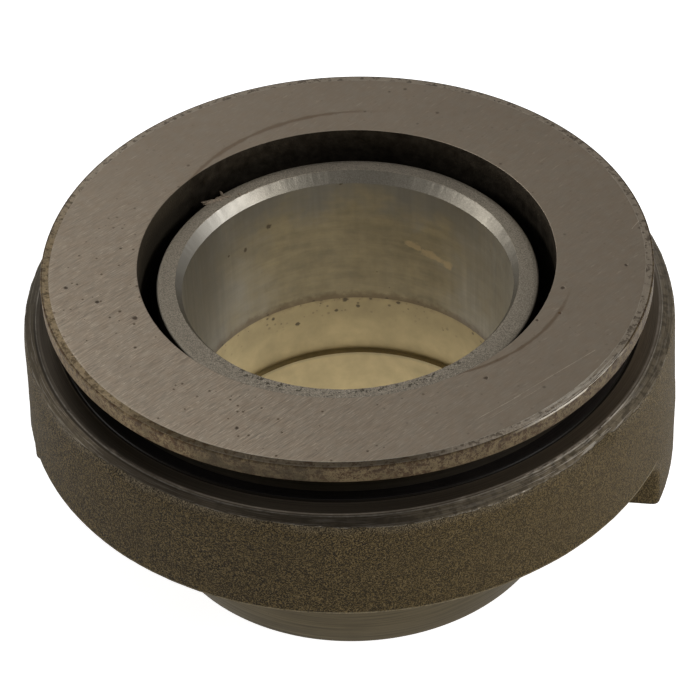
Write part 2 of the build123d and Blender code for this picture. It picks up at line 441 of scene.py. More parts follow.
class Finish(Wiring):
    """A material with its Principled shader, its place in mm and the shared effects laid on that place."""

    def __init__(self, name, metallic=0.0):
        self.material = bpy.data.materials.new(name)
        self.material.use_nodes = True
        super().__init__(self.material.node_tree)
        self.tree.nodes.clear()
        shader = self.add("ShaderNodeBsdfPrincipled")
        self.sockets = shader.inputs
        self.put("Metallic", metallic)
        self.add("ShaderNodeOutputMaterial", {0: shader.outputs[0]})
        at = self.group("Round position", vector=self.add("ShaderNodeTexCoord").outputs["Object"])
        self.place, self.around = at["Place"], at["Around"]
        self.radius, self.height = at["Radius"], at["Height"]

    def put(self, name, value):
        """Sets one of the shader's sockets."""
        self.feed(self.sockets[name], value)

    def bump(self, height, distance, strength):
        """Bump of a height in mm under the shader's normal; gives the finished material."""
        values = {"Height": height, "Distance": distance * MM, "Strength": strength}
        self.put("Normal", self.add("ShaderNodeBump", values).outputs[0])
        return self.material

    def near(self, centre, far, close, to_low=0.0, to_high=1.0):
        """Smooth step from far to close by the distance from a place."""
        return self.span(self.number("DISTANCE", self.place, centre), far, close, to_low, to_high)

    def cloud(self, scale, detail, roughness):
        """Noise value at the place."""
        return self.grain(self.place, scale, detail, roughness)

    def film(self, size):
        """Slow patches of an oil or dirt film."""
        return self.group("Film", place=self.place, size=size)[0]

    def cast_grain(self, size):
        """Height, pores and glints of a cast or blasted surface."""
        return self.group("Cast grain", place=self.place, size=size)

    def specks(self, spacing, size, share):
        """Scattered specks."""
        return self.group("Specks", place=self.place, spacing=spacing, size=size, share=share)[0]

    def grooves(self, along, pitch, waver):
        """Fine grooves round the axis, side by side along the radius or the height."""
        return self.group("Turned grooves", around=self.around, along=along, pitch=pitch, waver=waver)[0]

    def ground_lines(self, turn, pitch, length):
        """Fine and deep lines of a surface grinder."""
        return self.group("Ground lines", place=self.place, turn=turn, pitch=pitch, length=length)

    def edge_line(self, value, at, width, broken):
        """Thin line where a radius or height passes an edge, for worn edges and for painted highlights on
        them.
        """
        return self.group("Edge line", place=self.place, value=value, at=at, width=width, broken=broken)[0]

    def scratch(self, start, end, width):
        """One straight scratch."""
        return self.group("Scratch", place=self.place, start=start, end=end, width=width)[0]

    def spots(self, marks):
        """Placed spots in one mask; each mark is radius, angle in degrees, height and size."""
        mask = 0.0
        for radius, angle, height, size in marks:
            centre = on_circle(radius, angle, height)
            mask = self.most(mask, self.group("Spot", place=self.place, centre=centre, size=size)[0])
        return mask


def new_group(name, inputs, numbers, vectors=()):
    """Empty node group with named sockets; gives its wiring, its inputs and its outputs."""
    tree = bpy.data.node_groups.new(name, "ShaderNodeTree")
    for socket, value in inputs.items():
        kind = "NodeSocketVector" if isinstance(value, tuple) else "NodeSocketFloat"
        tree.interface.new_socket(socket, in_out="INPUT", socket_type=kind).default_value = value
    for kind, sockets in (("NodeSocketFloat", numbers), ("NodeSocketVector", vectors)):
        for socket in sockets:
            tree.interface.new_socket(socket, in_out="OUTPUT", socket_type=kind)
    w = Wiring(tree)
    return w, w.add("NodeGroupInput").outputs, w.add("NodeGroupOutput").inputs


def group_round_position():
    """Place in mm, with its radius, its height and its direction round the axis."""
    w, given, result = new_group(
        "Round position", {"Vector": ORIGIN}, ("Radius", "Height"), ("Place", "Around")
    )
    place = w.scaled(given["Vector"], 1000.0)
    split = w.split(place)
    flat = w.join(split[0], split[1], 0.0)
    w.feed(result["Place"], place)
    w.feed(result["Radius"], w.number("LENGTH", flat))
    w.feed(result["Height"], split[2])
    w.feed(result["Around"], w.vector("NORMALIZE", flat))


def group_turned_grooves():
    """Fine grooves that a lathe or grinder leaves round the axis."""
    w, given, result = new_group(
        "Turned grooves", {"Around": ORIGIN, "Along": 0, "Pitch": 0.1, "Waver": 3}, ("Value",)
    )
    step = w.over(given["Along"], given["Pitch"])
    place = w.vector("ADD", w.scaled(given["Around"], given["Waver"]), w.join(0.0, 0.0, step))
    w.feed(result["Value"], w.line(w.grain(place, 1.0, 3.0, 0.6), 0.3, 0.7))


def group_cast_grain():
    """Sand grain of a blasted casting, as a height, with its pores and its bright grains."""
    w, given, result = new_group("Cast grain", {"Place": ORIGIN, "Size": 0.3}, ("Height", "Pores", "Glints"))
    place = w.scaled(given["Place"], w.over(1.0, given["Size"]))
    coarse = w.line(w.grain(place, 0.42, 2.0, 0.6), 0.3, 0.7)
    fine = w.line(w.grain(place, 1.2, 1.0, 0.6), 0.33, 0.67)
    pebble = w.line(w.cells(place, 0.8)["Distance"], 0.0, 0.75, 1.0, 0.0)
    height = w.plus(w.times(coarse, 0.2), w.times(fine, 0.55))
    height = w.plus(height, w.times(pebble, 0.25))
    w.feed(result["Height"], w.line(height, 0.15, 0.85))
    w.feed(result["Pores"], w.span(height, 0.42, 0.24))
    w.feed(result["Glints"], w.span(height, 0.64, 0.82))


def group_specks():
    """Scattered specks: a few of the cells of a given spacing hold one."""
    w, given, result = new_group(
        "Specks", {"Place": ORIGIN, "Spacing": 1.5, "Size": 0.12, "Share": 0.4}, ("Mask",)
    )
    cell = w.cells(w.scaled(given["Place"], w.over(1.0, given["Spacing"])), 1.0)
    draw = w.split(cell["Color"])
    apart = w.times(cell["Distance"], given["Spacing"])
    edge = w.times(w.plus(draw[1], 0.4), given["Size"])
    spot = w.span(apart, edge, w.times(edge, 0.35))
    held = w.math("LESS_THAN", draw[0], given["Share"])
    w.feed(result["Mask"], w.times(spot, held))


def group_ground_lines():
    """Straight lines of a surface grinder: fine lines, with a few deeper ones."""
    w, given, result = new_group(
        "Ground lines", {"Place": ORIGIN, "Turn": 0, "Pitch": 0.12, "Length": 9}, ("Fine", "Deep")
    )
    values = {"Vector": given["Place"], "Angle": given["Turn"]}
    turned = w.add("ShaderNodeVectorRotate", values, rotation_type="Z_AXIS", invert=True).outputs[0]
    split = w.split(turned)
    along = w.over(split[0], given["Length"])
    across = w.over(split[1], given["Pitch"])
    w.feed(result["Fine"], w.line(w.grain(w.join(along, across, 0.0), 1.0, 2.0, 0.6), 0.3, 0.7))
    rare = w.grain(w.join(w.times(along, 1.6), w.times(across, 0.45), 7.0), 1.0, 1.0, 0.5)
    w.feed(result["Deep"], w.span(rare, 0.63, 0.8))


def group_spot():
    """One stain or pit at its own place."""
    w, given, result = new_group("Spot", {"Place": ORIGIN, "Centre": ORIGIN, "Size": 0.3}, ("Mask",))
    ragged = w.times(w.less(w.grain(given["Place"], 4.0, 2.0, 0.6), 0.5), 0.9)
    apart = w.number("DISTANCE", given["Place"], given["Centre"])
    apart = w.plus(w.over(apart, given["Size"]), ragged)
    w.feed(result["Mask"], w.span(apart, 1.0, 0.45))


def group_scratch():
    """One straight scratch between two places, broken here and there."""
    w, given, result = new_group(
        "Scratch", {"Place": ORIGIN, "Start": ORIGIN, "End": (1, 0, 0), "Width": 0.06}, ("Mask",)
    )
    whole = w.vector("SUBTRACT", given["End"], given["Start"])
    reach = w.vector("SUBTRACT", given["Place"], given["Start"])
    share = w.over(w.number("DOT_PRODUCT", reach, whole), w.number("DOT_PRODUCT", whole, whole))
    inside = w.math("MINIMUM", w.most(share, 0.0), 1.0)
    apart = w.number("DISTANCE", reach, w.scaled(whole, inside))
    edge = w.times(given["Width"], w.line(w.grain(given["Place"], 0.9, 2.0, 0.7), 0.35, 0.65, 0.3, 1.2))
    w.feed(result["Mask"], w.span(apart, edge, w.times(edge, 0.3)))


def group_arc_mark():
    """One rubbed arc round its own centre, fading at its ends."""
    w, given, result = new_group(
        "Arc mark",
        {"Place": ORIGIN, "Centre": ORIGIN, "Radius": 20, "Width": 0.4, "Middle": (1, 0, 0), "Reach": 8},
        ("Mask",),
    )
    flat = w.vector("MULTIPLY", w.vector("SUBTRACT", given["Place"], given["Centre"]), (1, 1, 0))
    apart = w.apart(w.number("LENGTH", flat), given["Radius"])
    wide = w.times(given["Width"], w.line(w.grain(given["Place"], 0.5, 2.0, 0.6), 0.3, 0.7, 0.5, 1.4))
    mark = w.span(apart, wide, w.times(wide, 0.2))
    along = w.number("DISTANCE", given["Place"], given["Middle"])
    fade = w.span(along, given["Reach"], w.times(given["Reach"], 0.55))
    w.feed(result["Mask"], w.times(mark, fade))


def group_edge_line():
    """Thin line where a radius or height passes an edge, broken along its length; used for worn edges and for
    painted highlights on them.
    """
    w, given, result = new_group(
        "Edge line", {"Place": ORIGIN, "Value": 0, "At": 0, "Width": 0.1, "Broken": 0.5}, ("Mask",)
    )
    apart = w.apart(given["Value"], given["At"])
    near = w.span(apart, given["Width"], w.times(given["Width"], 0.25))
    patchy = w.line(w.grain(given["Place"], 0.8, 3.0, 0.7), 0.38, 0.62)
    kept = w.blend(given["Broken"], 1.0, patchy)
    w.feed(result["Mask"], w.times(near, kept))


def group_film():
    """Slow patches of an oil or dirt film."""
    w, given, result = new_group("Film", {"Place": ORIGIN, "Size": 10}, ("Value",))
    place = w.scaled(given["Place"], w.over(1.0, given["Size"]))
    w.feed(result["Value"], w.line(w.grain(place, 1.0, 3.0, 0.55), 0.3, 0.7))


def build_groups():
    """All shared effects, built once."""
    group_round_position()
    group_turned_grooves()
    group_cast_grain()
    group_specks()
    group_ground_lines()
    group_spot()
    group_scratch()
    group_arc_mark()
    group_edge_line()
    group_film()


def cast_skin(w, colours, rough, film):
    """Dark cast skin with pores and glints, painted a little lighter towards the right where the light falls,
    and a painted highlight along its lower edge.
    """
    base = w.shades(w.line(rough["Height"], 0.2, 0.8), colours.casting, 0.2, 1.95)
    base = w.tint(base, w.times(rough["Pores"], 0.8), colours.casting, 0.1)
    base = w.tint(base, w.times(rough["Glints"], 0.28), (0.25, 0.205, 0.14))
    base = w.tint(base, w.fade(film, 0.0, 0.3), colours.casting, 0.7)
    split = w.split(w.place)
    # Painted light: the skin is a little lighter towards the right, where the light falls on it.
    base = w.tint(base, w.line(split[0], -6.0, 27.0, 0.0, 0.25), colours.casting, 1.5)
    # Painted highlight: a pale line along the flange's rounded lower edge, where it catches the table's
    # light, kept off the lugs.
    off_lug = w.span(w.math("ABSOLUTE", split[1]), LUG_WIDTH / 2 + 0.4, LUG_WIDTH / 2 + 1.5)
    painted_hem_highlight = w.times(w.edge_line(w.height, FLANGE_BOTTOM + 0.15, 0.16, 0.5), off_lug)
    return w.tint(base, w.times(painted_hem_highlight, w.span(w.radius, 34.0, 34.4, 0.0, 0.6)), (0.24, 0.2, 0.13))


def turned_band(w, colours, grooves, left, soil_and_painted_shade, bruised):
    """Turned band: painted shade darkens it over the left and dulls it in front; a dirty patch in front,
    scraped bright at the right.
    """
    band = w.shades(grooves, colours.band, 0.55, 1.4)
    # Painted shade: darker over the left, and duller in front through the front mask.
    band = w.toned(band, w.near((-30.0, -16.0, 29.0), 30.0, 14.0, 1.0, 0.5))
    band = w.mix(w.times(soil_and_painted_shade, 0.85), band, w.shades(grooves, colours.rim, 0.3, 0.7))
    band = w.tint(band, w.times(bruised, 0.45), colours.band, 1.7)
    band = w.tint(band, w.span(w.cloud(1.1, 3.0, 0.65), 0.45, 0.6, 0.0, 0.6), colours.rim, 0.45)
    scraped = w.span(w.grooves(w.radius, 0.14, 7.0), 0.62, 0.72)
    band = w.tint(band, w.times(scraped, w.fade(bruised, 0.12, 0.6)), (0.68, 0.62, 0.54))
    shut_in = w.times(w.span(w.radius, 33.48, 33.3), left)
    grimed = w.near((-17.0, -29.4, 29.0), 9.0, 4.0, 0.0, 0.65)
    return w.tint(band, w.most(shut_in, grimed), colours.rim, 0.2)


def casting_material(colours):
    """Sand-cast iron, with the turned band where the edge distance is below nought."""
    w = Finish("cast_iron_skin")
    w.put("Specular IOR Level", 0.12)
    rough = w.cast_grain(0.17)
    film = w.film(5.0)
    grooves = w.grooves(w.radius, 0.11, 2.5)
    left = w.near((-25.0, -22.0, 28.5), 24.0, 12.0)
    # Painted shade: this mask darkens the band and dims the bright edge lines towards the front.
    soil_and_painted_shade = w.near((-5.0, -33.4, 29.0), 20.0, 12.0)
    bruised = w.near((27.5, -20.0, 29.0), 10.0, 4.0)
    edge = w.add("ShaderNodeAttribute", attribute_name="cast_edge").outputs["Fac"]
    edge = w.plus(edge, w.times(w.less(w.cloud(2.6, 2.0, 0.6), 0.5), 0.16))
    cast = w.span(edge, -0.05, 0.08)
    rubbed = w.times(w.span(edge, 1.3, 0.0, 0.0, 0.8), w.line(film, 0.1, 0.7, 0.3, 1.0))
    rubbed = w.times(rubbed, w.fade(left, 0.5, 0.85))
    pale = w.mix(rough["Height"], rgba((0.03, 0.022, 0.012)), rgba((0.24, 0.2, 0.14)))
    base = w.mix(rubbed, cast_skin(w, colours, rough, film), pale)
    base = w.mix(cast, turned_band(w, colours, grooves, left, soil_and_painted_shade, bruised), base)
    # Bright lines on the band's edge and the rim's outer edge: partly worn edges, partly painted highlights
    # where the edges catch the light.
    lip = w.times(w.span(w.apart(edge, 0.02), 0.1, 0.02), w.line(w.cloud(0.7, 3.0, 0.7), 0.4, 0.62))
    lip = w.times(lip, w.fade(soil_and_painted_shade, 0.25, 0.15))
    inner = w.times(w.edge_line(w.radius, RIM_RADIUS + 0.04, 0.13, 0.6), w.span(w.height, 29.0, 29.2))
    inner = w.times(inner, w.fade(bruised, 0.4, 1.0))
    lip = w.times(w.most(lip, inner), w.fade(left, 1.0, 0.35))
    w.put("Base Color", w.tint(base, lip, (0.72, 0.66, 0.57)))
    w.put("Metallic", w.blend(cast, 1.0, w.fade(rough["Glints"], 0.0, 0.5)))
    w.put("Roughness", w.blend(cast, w.fade(grooves, 0.48, 0.36), 0.72))
    return w.bump(w.blend(cast, w.times(grooves, 0.03), rough["Height"]), 0.14, 1.0)


def turned_material(name, colour, pitch, metallic, low, high, upright=False):
    """Turned or ground metal with grooves round the axis and a patchy film, painted shade over the left and
    in the race gap, and painted highlights along the race joint and the rim's lip.
    """
    w = Finish(name)
    grooves = w.grooves(w.height if upright else w.radius, pitch, 2.5)
    film = w.film(6.0)
    base = w.shades(grooves, colour, 0.6, 1.15)
    base = w.tint(base, w.fade(film, 0.0, 0.3), colour, 0.6)
    base = w.tint(base, w.times(w.specks(1.1, 0.09, 0.25), 0.7), colour, 0.15)
    # Painted shade: this mask darkens the metal over the left and weakens the painted lip highlight there.
    stained = w.near((-30.0, -14.0, LEDGE_TOP), 30.0, 12.0, 0.0, 0.75)
    base = w.tint(base, stained, colour, 0.15)
    # Painted highlight: a faint light line on the rim beside the race joint, where its edge catches the
    # light.
    joint = w.edge_line(w.radius, RACE_RADIUS + 0.2, 0.1, 0.5)
    base = w.tint(base, w.times(joint, 0.25), colour, 1.5)
    # Painted highlight: a lighter, less metallic line along the rim's lip, where the rounded edge catches the
    # light.
    lip = w.edge_line(w.radius, RIM_RADIUS - 0.2, 0.17, 0.35)
    lip = w.times(lip, w.line(stained, 0.0, 0.75, 0.8, 0.15))
    base = w.tint(base, lip, (0.24, 0.205, 0.165))
    # Painted shade: a near-black band in the gap between race and rim, barely metallic and barely shiny.
    gap = w.span(w.apart(w.radius, RACE_RADIUS - 0.08), 0.28, 0.16)
    gap = w.times(gap, w.span(w.height, LEDGE_TOP - 1.0, LEDGE_TOP - 0.6))
    w.put("Base Color", w.tint(base, gap, (0.009, 0.007, 0.005)))
    w.put("Metallic", w.times(w.fade(gap, metallic, 0.0), w.fade(lip, 1.0, 0.1)))
    w.put("Specular IOR Level", w.fade(gap, 0.5, 0.05))
    w.put("Roughness", w.plus(w.fade(grooves, high, low), w.times(film, 0.06)))
    return w.bump(grooves, 0.006, 0.8)


def ground_face(w, colours, line_angle, lines, mottle, pits, scratches):
    """Ground face: lines, bright strokes and specks shown most in front at the left by a painted sheen, with
    pits, rubbed arcs and scratches.
    """
    # Painted sheen: the grinding lines, bright strokes and specks show most in front at the left, where the
    # light catches them.
    painted_sheen = w.near((-16.0, -20.0, FACE_HEIGHT), 40.0, 12.0, 0.2, 1.0)
    crossed = w.ground_lines(line_angle + 0.1, 0.22, 1.8)
    ground = w.plus(w.times(lines["Fine"], 0.65), w.times(crossed["Fine"], 0.35))
    ground = w.plus(w.times(w.less(ground, 0.5), painted_sheen), 0.5)
    face = w.shades(ground, colours.face, 0.6, 1.4)
    strokes = w.span(w.ground_lines(line_angle, 0.1, 1.1)["Fine"], 0.72, 0.95)
    face = w.tint(face, w.times(w.times(strokes, painted_sheen), 0.55), colours.face, 2.2)
    face = w.tint(face, w.times(lines["Deep"], 0.3), colours.face, 1.8)
    face = w.tint(face, w.fade(w.film(11.0), 0.0, 0.22), colours.face, 0.72)
    face = w.tint(face, w.fade(mottle, 0.0, 0.12), colours.rust, 2.0)
    face = w.tint(face, w.times(w.specks(0.85, 0.17, 0.5), w.times(painted_sheen, 0.75)), colours.rust, 0.35)
    coarse = w.times(w.specks(2.0, 0.23, 0.4), w.line(painted_sheen, 0.2, 1.0, 0.45, 0.8))
    face = w.tint(face, coarse, colours.rust, 0.25)
    face = w.tint(face, w.times(pits, 0.85), colours.rust, 0.12)
    for centre, radius, width, middle, reach, strength in RUBBED_ARCS:
        rub = w.group(
            "Arc mark", place=w.place, centre=(*centre, FACE_HEIGHT), radius=radius, width=width,
            middle=(*middle, FACE_HEIGHT), reach=reach,
        )[0]
        face = w.tint(face, w.times(rub, strength), colours.rust, 0.8)
    return w.tint(face, w.times(scratches, 0.6), colours.face, 1.9)


def ring_side(w, colours, rusty, rust_grain, blotch, dirt):
    """Stained side wall of the ring: blotched, pocked and dirty under its edge, with painted shade in front
    and painted light that makes it lighter at the left and darker at the right.
    """
    side = w.shades(blotch, colours.side, 1.5, 0.4)
    side = w.tint(side, w.span(w.cloud(1.5, 4.0, 0.75), 0.5, 0.57, 0.0, 0.9), colours.rust, 0.3)
    side = w.tint(side, w.times(rust_grain["Pores"], 0.7), colours.rust, 0.2)
    side = w.tint(side, w.times(dirt, 0.8), colours.rust, 0.18)
    # Painted shade: darker in front.
    painted_shade = w.near((-4.5, -31.4, FACE_HEIGHT - 1.0), 9.0, 4.0)
    side = w.tint(side, w.times(painted_shade, w.line(rusty, 0.2, 0.8, 0.45, 0.85)), colours.side, 0.25)
    # Painted light: lighter at the left, darker at the right.
    return w.toned(side, w.near((-27.0, -16.0, FACE_HEIGHT), 45.0, 14.0, 0.85, 1.35))


def ring_bevel(w, colours, mottle, blotch, dirt, painted_shade_at_left):
    """Bevel between face and side: bright at the right, with painted shade that darkens it at the left and in
    front.
    """
    bevel = w.shades(w.fade(mottle, 0.0, 0.4), colours.face, 1.25, 0.85)
    # Painted shade: the bevel takes the darker side colours at the left and in front.
    bevel = w.mix(painted_shade_at_left, bevel, w.shades(blotch, colours.side, 2.6, 0.9))
    painted_front_shade = w.near((-2.0, -31.7, FACE_HEIGHT), 21.0, 12.0, 0.0, 0.85)
    bevel = w.mix(painted_front_shade, bevel, w.shades(mottle, colours.side, 0.2, 0.5))
    return w.tint(bevel, w.times(dirt, 0.6), colours.rust, 0.2)


def ring_wear_and_highlights(w, painted_shade_at_left):
    """Bright lines along both edges of the bevel, partly worn edges and partly painted highlights that are
    strongest at the right, with painted highlights on the turning streaks there.
    """
    # Painted highlight: the edge lines grow bright at the right and stay faint at the left, and the turning
    # streaks there are painted bright.
    painted_highlight_spot = w.near((25.8, -18.2, FACE_HEIGHT), 10.0, 3.5)
    worn = w.edge_line(w.radius, FACE_EDGE, 0.07, 0.8)
    worn = w.times(worn, w.most(painted_highlight_spot, w.line(painted_shade_at_left, 0.0, 0.8, 0.3, 0.04)))
    second = w.edge_line(w.radius, SIDE_EDGE, 0.07, 0.7)
    worn = w.most(worn, w.times(second, w.fade(painted_highlight_spot, 0.1, 1.0)))
    painted_streak_highlight = w.span(w.grooves(w.radius, 0.13, 7.0), 0.5, 0.64, 0.0, 0.75)
    painted_streak_highlight = w.times(painted_streak_highlight, w.span(w.radius, FACE_EDGE - 0.05, FACE_EDGE + 0.05))
    below_face = w.span(w.height, FACE_HEIGHT - 0.3, FACE_HEIGHT - 0.1)
    return w.most(worn, w.times(painted_streak_highlight, w.times(painted_highlight_spot, below_face)))


def ring_material(colours, line_angle):
    """Ground thrust ring: lined face, dark bevel, rust-specked side and oxide in the hole."""
    w = Finish("ground_ring_steel")
    lines = w.ground_lines(line_angle, 0.14, 2.4)
    mottle = w.film(1.1)
    rusty = w.film(1.6)
    rust_grain = w.cast_grain(0.24)
    blotch = w.plus(w.times(rusty, 0.45), w.times(rust_grain["Height"], 0.55))
    upper = w.span(w.plus(w.height, w.times(rusty, 0.5)), FACE_HEIGHT - 0.75, FACE_HEIGHT - 0.25)
    dirt = w.times(upper, w.span(w.cloud(1.7, 3.0, 0.65), 0.48, 0.62))
    # Painted shade at the left: it darkens the bevel and weakens the painted edge highlights there.
    painted_shade_at_left = w.near((-27.0, -16.0, FACE_HEIGHT), 30.0, 14.0, 0.0, 0.8)
    pits = w.spots([(radius, angle, FACE_HEIGHT, size) for radius, angle, size in FACE_PITS])
    scratches = 0.0
    for start, end, width in FACE_SCRATCHES:
        scratches = w.most(scratches, w.scratch((*start, FACE_HEIGHT), (*end, FACE_HEIGHT), width))
    oxide = w.mix(mottle, rgba((0.031, 0.025, 0.018)), rgba((0.073, 0.061, 0.046)))
    paler = w.near((-21.9, 2.5, FACE_HEIGHT - 2.0), 11.0, 4.0, 0.0, 0.8)
    oxide = w.tint(oxide, paler, (0.11, 0.092, 0.066))
    face = ground_face(w, colours, line_angle, lines, mottle, pits, scratches)
    side = ring_side(w, colours, rusty, rust_grain, blotch, dirt)
    on_face = w.span(w.height, FACE_HEIGHT - 0.03, FACE_HEIGHT - 0.005)
    on_face = w.times(on_face, w.span(w.radius, FACE_EDGE + 0.04, FACE_EDGE - 0.02))
    outside = w.span(w.radius, 28.0, 29.0)
    on_side = w.span(w.radius, SIDE_EDGE - 0.04, SIDE_EDGE + 0.04)
    base = w.mix(on_side, ring_bevel(w, colours, mottle, blotch, dirt, painted_shade_at_left), side)
    base = w.mix(on_face, w.mix(outside, oxide, base), face)
    # Bright edge lines of the bevel: partly wear, partly painted highlights.
    w.put("Base Color", w.tint(base, w.times(ring_wear_and_highlights(w, painted_shade_at_left), 0.8), (0.78, 0.72, 0.62)))
    soil_and_painted_shade = w.times(w.times(on_side, outside), w.line(blotch, 0.2, 0.8, 0.5, 0.95))
    soil_and_painted_shade = w.most(soil_and_painted_shade, w.times(pits, on_face))
    w.put("Specular IOR Level", w.fade(soil_and_painted_shade, 0.5, 0.1))
    w.put("Metallic", w.fade(soil_and_painted_shade, 1.0, 0.1))
    away = w.blend(outside, 0.55, w.blend(on_side, 0.42, 0.62))
    w.put("Roughness", w.blend(on_face, away, w.fade(lines["Fine"], 0.36, 0.46)))
    relief = w.times(w.plus(lines["Fine"], w.times(lines["Deep"], 2.0)), 0.05)
    relief = w.less(relief, w.times(pits, 0.7))
    relief = w.less(relief, w.times(scratches, 0.15))
    return w.bump(w.blend(on_face, w.times(rust_grain["Height"], 0.5), relief), 0.06, 0.7)


def bore_land(w, colours, grooves, bands, reflection_streaks, mottled, far, painted_table_glow):
    """Upper land of the bore: grey with painted reflection streaks, painted shade at the left and the far
    top, a painted khaki glow of the table's light at the back, and one smear.
    """
    grey = w.shades(bands, colours.bore, 0.9, 1.05)
    # Painted reflection: the upright streaks darken the grey in soft bands.
    grey = w.tint(grey, w.times(reflection_streaks, 0.3), colours.bore, 0.6)
    grey = w.tint(grey, w.times(mottled, 0.3), colours.bore, 0.5)
    flat = w.vector("MULTIPLY", w.place, (1, 1, 0))
    # Painted shade: darker at the left, and at the far side near the top.
    painted_bore_shade = w.span(w.number("DISTANCE", flat, (-17.2, 3.0, 0.0)), 9.0, 3.0)
    grey = w.tint(grey, w.times(painted_bore_shade, 0.62), colours.bore, 0.4)
    dim = w.times(w.span(far, 19.0, 11.0), w.span(w.height, 23.0, 28.5))
    grey = w.tint(grey, w.times(dim, 0.7), colours.bore, 0.42)
    # Painted light: the khaki glow takes over at the back.
    khaki = w.shades(w.blend(0.5, bands, mottled), colours.relief, 0.42, 0.78)
    land = w.mix(w.times(painted_table_glow, 0.9), grey, khaki)
    land = w.tint(land, w.times(grooves, 0.16), colours.bore, 0.5)
    smear = w.scratch(on_circle(BORE_RADIUS, 75.7, 23.1), on_circle(BORE_RADIUS, 59.5, 21.9), 0.8)
    return w.tint(land, w.times(smear, 0.45), (0.56, 0.42, 0.22))


def bore_dots(w):
    """Dark specks in the bore: scattered, crowded under the relief's step, and the larger ones placed."""
    near_step = w.span(w.less(RELIEF_TOP, w.height), 4.5, 0.5)
    near_step = w.times(near_step, w.span(w.height, RELIEF_TOP + 0.9, RELIEF_TOP + 0.2))
    dots = w.most(w.times(w.specks(1.5, 0.13, 0.3), 0.7), w.times(w.specks(0.7, 0.2, 0.62), near_step))
    marks = [(BORE_RADIUS, *spot) for spot in BORE_SPOTS] + [(RELIEF_RADIUS, *spot) for spot in RELIEF_SPOTS]
    return w.most(w.times(dots, 0.7), w.times(w.spots(marks), 0.85))


def bore_material(colours):
    """Guide bore: ground lands, a wider khaki relief between them, partly its rougher finish and partly
    painted light from the table below, and dark specks.
    """
    w = Finish("guide_bore_metal")
    grooves = w.grooves(w.height, 0.2, 6.0)
    bands = w.grooves(w.height, 1.3, 2.5)
    # Painted reflection: soft upright streaks round the bore; the same streaks also vary its roughness.
    along = w.vector("ADD", w.scaled(w.around, 26.0), w.join(0.0, 0.0, w.times(w.height, 0.08)))
    reflection_streaks = w.line(w.grain(along, 1.0), 0.3, 0.7)
    film = w.film(4.0)
    mottled = w.line(w.cloud(0.55, 3.0, 0.6), 0.3, 0.7)
    wave = w.times(w.less(film, 0.5), 5.0)
    far = w.number("DISTANCE", w.vector("MULTIPLY", w.place, (1, 1, 0)), (-1.8, 17.4, 0.0))
    far = w.plus(far, wave)
    # Painted light: a khaki glow on the far side of the upper land, from the table's light below.
    painted_table_glow = w.times(w.span(far, 18.0, 8.0), w.span(w.plus(w.height, wave), 31.0, 25.0))
    land = bore_land(w, colours, grooves, bands, reflection_streaks, mottled, far, painted_table_glow)
    # Painted light: the relief grows lighter towards the bottom, as if lit by the table below.
    low = w.shades(w.span(w.height, 12.5, 9.0), colours.relief, 1.12, 1.4)
    low = w.tint(low, w.fade(film, 0.0, 0.4), colours.relief, 0.75)
    low = w.tint(low, w.times(mottled, 0.22), colours.relief, 0.45)
    deep = w.span(w.height, RELIEF_TOP + 0.1, RELIEF_TOP - 0.1)
    base = w.mix(deep, land, low)
    ragged = w.times(w.less(w.cloud(1.1, 2.0, 0.6), 0.5), 1.4)
    step = w.span(w.apart(w.plus(w.height, ragged), RELIEF_TOP + 0.1), 1.2, 0.1)
    base = w.tint(base, w.times(step, 0.5), colours.rust, 0.6)
    ledge = w.span(w.apart(w.height, RELIEF_BOTTOM), 0.5, 0.1)
    base = w.tint(base, w.times(ledge, 0.3), (0.09, 0.08, 0.055))
    w.put("Base Color", w.tint(base, bore_dots(w), (0.075, 0.055, 0.032)))
    soft = w.most(deep, w.times(painted_table_glow, 0.5))
    w.put("Metallic", w.fade(soft, 0.8, 0.45))
    w.put("Roughness", w.blend(soft, w.fade(reflection_streaks, 0.42, 0.54), 0.6))
    return w.bump(w.times(w.plus(grooves, w.times(bands, 1.5)), 0.3), 0.01, 0.6)


